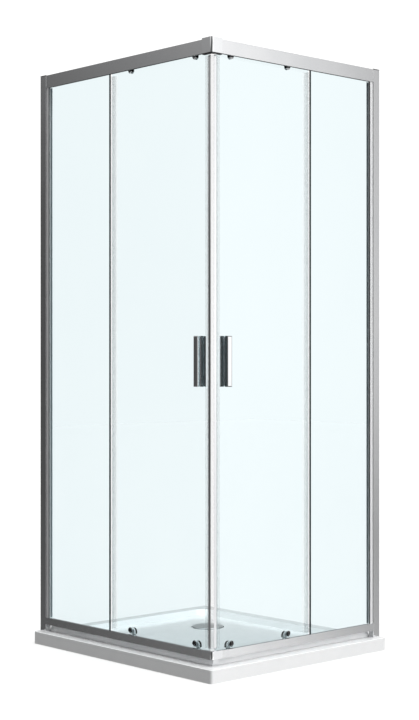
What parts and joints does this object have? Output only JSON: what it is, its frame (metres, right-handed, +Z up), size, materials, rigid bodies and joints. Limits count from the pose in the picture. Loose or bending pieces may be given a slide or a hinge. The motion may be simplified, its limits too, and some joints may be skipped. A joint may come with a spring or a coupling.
{
  "type": "shower enclosure",
  "caption": "Corner-entry shower enclosure: low tray, fixed glass panes and glass doors that slide on grooved wheels in bright rails and meet at a mitred corner seal.",
  "frame": {"origin": "centre of the tray's underside, on the floor", "axes": "+Z up; the walls are at -X and +Y, and the doors meet at the corner towards +X and -Y"},
  "size_m": [0.9, 0.8, 1.959],
  "materials": {
    "tray_acrylic": "smooth white gloss",
    "bright_aluminium": "polished bright anodised",
    "chrome": "mirror chrome plate",
    "clear_glass": "clear toughened, polished edges",
    "seal_pvc": "translucent soft extrusion",
    "gasket_rubber": "matte",
    "black_plastic": "moulded gloss",
    "pale_plastic": "moulded gloss, light grey",
    "wheel_acetal": "turned satin",
    "steel": "bright stainless"
  },
  "bodies": {
    "base": {"shower_tray": "tray_acrylic", "waste_body": "chrome", "waste_seal": "gasket_rubber", "post_caps": "black_plastic", "door_stops": "black_plastic", "top_corner_joint": "chrome", "bottom_corner_joint": "chrome", "jamb_screws": "steel", "rail_screws": "steel", "corner_screws": "steel", "wall_channel_x": "bright_aluminium", "jamb_profile_x": "bright_aluminium", "top_rail_x": "bright_aluminium", "bottom_rail_x": "bright_aluminium", "sill_x": "bright_aluminium", "fixed_glass_x": "clear_glass", "pane_gasket_x": "gasket_rubber", "wall_channel_y": "bright_aluminium", "jamb_profile_y": "bright_aluminium", "top_rail_y": "bright_aluminium", "bottom_rail_y": "bright_aluminium", "sill_y": "bright_aluminium", "fixed_glass_y": "clear_glass", "pane_gasket_y": "gasket_rubber"},
    "waste_cover": {"waste_cover": "steel"},
    "door_x": {"door_glass_x": "clear_glass", "magnet_seal_x": "seal_pvc", "rear_seal_x": "seal_pvc", "outer_handle_x": "chrome", "inner_handle_x": "chrome", "handle_studs_x": "steel", "handle_washers_x": "seal_pvc", "top_roller_carriers_x": "black_plastic", "roller_caps_x": "black_plastic", "bottom_roller_housings_x": "pale_plastic", "release_springs_x": "steel"},
    "door_y": {"door_glass_y": "clear_glass", "magnet_seal_y": "seal_pvc", "rear_seal_y": "seal_pvc", "outer_handle_y": "chrome", "inner_handle_y": "chrome", "handle_studs_y": "steel", "handle_washers_y": "seal_pvc", "top_roller_carriers_y": "black_plastic", "roller_caps_y": "black_plastic", "bottom_roller_housings_y": "pale_plastic", "release_springs_y": "steel"},
    "top_wheel_x_front": {"top_wheel_x_front": "wheel_acetal"},
    "release_x_front": {"release_slider_x_front": "pale_plastic"},
    "bottom_wheel_x_front": {"bottom_wheel_x_front": "wheel_acetal"},
    "top_wheel_x_rear": {"top_wheel_x_rear": "wheel_acetal"},
    "release_x_rear": {"release_slider_x_rear": "pale_plastic"},
    "bottom_wheel_x_rear": {"bottom_wheel_x_rear": "wheel_acetal"},
    "top_wheel_y_front": {"top_wheel_y_front": "wheel_acetal"},
    "release_y_front": {"release_slider_y_front": "pale_plastic"},
    "bottom_wheel_y_front": {"bottom_wheel_y_front": "wheel_acetal"},
    "top_wheel_y_rear": {"top_wheel_y_rear": "wheel_acetal"},
    "release_y_rear": {"release_slider_y_rear": "pale_plastic"},
    "bottom_wheel_y_rear": {"bottom_wheel_y_rear": "wheel_acetal"}
  },
  "joints": [
    {"name": "waste_cover_lift", "type": "slide", "parent": "base", "child": "waste_cover", "axis": [0, 0, 1], "range_m": [0, 0.06]},
    {"name": "door_x_slide", "type": "slide", "parent": "base", "child": "door_x", "axis": [-1, 0, 0], "range_m": [0, 0.312]},
    {"name": "door_y_slide", "type": "slide", "parent": "base", "child": "door_y", "axis": [0, 1, 0], "range_m": [0, 0.272]},
    {"name": "top_wheel_x_front_spin", "type": "hinge", "parent": "door_x", "child": "top_wheel_x_front", "pos_m": [0.316, -0.33415, 1.93905], "axis": [0, -1, 0], "continuous": true},
    {"name": "release_x_front_lift", "type": "slide", "parent": "door_x", "child": "release_x_front", "axis": [0, 0, 1], "range_m": [0, 0.004], "stiffness_N_per_m": 800, "springref_m": -0.002, "deforming": ["release_springs_x"]},
    {"name": "bottom_wheel_x_front_spin", "type": "hinge", "parent": "release_x_front", "child": "bottom_wheel_x_front", "pos_m": [0.316, -0.33365, 0.07655], "axis": [0, -1, 0], "continuous": true},
    {"name": "top_wheel_x_rear_spin", "type": "hinge", "parent": "door_x", "child": "top_wheel_x_rear", "pos_m": [0.00537, -0.33415, 1.93905], "axis": [0, -1, 0], "continuous": true},
    {"name": "release_x_rear_lift", "type": "slide", "parent": "door_x", "child": "release_x_rear", "axis": [0, 0, 1], "range_m": [0, 0.004], "stiffness_N_per_m": 800, "springref_m": -0.002, "deforming": ["release_springs_x"]},
    {"name": "bottom_wheel_x_rear_spin", "type": "hinge", "parent": "release_x_rear", "child": "bottom_wheel_x_rear", "pos_m": [0.00537, -0.33365, 0.07655], "axis": [0, -1, 0], "continuous": true},
    {"name": "top_wheel_y_front_spin", "type": "hinge", "parent": "door_y", "child": "top_wheel_y_front", "pos_m": [0.38415, -0.266, 1.93905], "axis": [-1, 0, 0], "continuous": true},
    {"name": "release_y_front_lift", "type": "slide", "parent": "door_y", "child": "release_y_front", "axis": [0, 0, 1], "range_m": [0, 0.004], "stiffness_N_per_m": 800, "springref_m": -0.002, "deforming": ["release_springs_y"]},
    {"name": "bottom_wheel_y_front_spin", "type": "hinge", "parent": "release_y_front", "child": "bottom_wheel_y_front", "pos_m": [0.38365, -0.266, 0.07655], "axis": [-1, 0, 0], "continuous": true},
    {"name": "top_wheel_y_rear_spin", "type": "hinge", "parent": "door_y", "child": "top_wheel_y_rear", "pos_m": [0.38415, -0.01517, 1.93905], "axis": [-1, 0, 0], "continuous": true},
    {"name": "release_y_rear_lift", "type": "slide", "parent": "door_y", "child": "release_y_rear", "axis": [0, 0, 1], "range_m": [0, 0.004], "stiffness_N_per_m": 800, "springref_m": -0.002, "deforming": ["release_springs_y"]},
    {"name": "bottom_wheel_y_rear_spin", "type": "hinge", "parent": "release_y_rear", "child": "bottom_wheel_y_rear", "pos_m": [0.38365, -0.01517, 0.07655], "axis": [-1, 0, 0], "continuous": true}
  ],
  "couplings": [
    {"joint": "top_wheel_x_front_spin", "follows": "door_x_slide", "rad_per_m": 97.087},
    {"joint": "bottom_wheel_x_front_spin", "follows": "door_x_slide", "rad_per_m": 147.06},
    {"joint": "top_wheel_x_rear_spin", "follows": "door_x_slide", "rad_per_m": 97.087},
    {"joint": "bottom_wheel_x_rear_spin", "follows": "door_x_slide", "rad_per_m": 147.06},
    {"joint": "top_wheel_y_front_spin", "follows": "door_y_slide", "rad_per_m": 97.087},
    {"joint": "bottom_wheel_y_front_spin", "follows": "door_y_slide", "rad_per_m": 147.06},
    {"joint": "top_wheel_y_rear_spin", "follows": "door_y_slide", "rad_per_m": 97.087},
    {"joint": "bottom_wheel_y_rear_spin", "follows": "door_y_slide", "rad_per_m": 147.06}
  ]
}
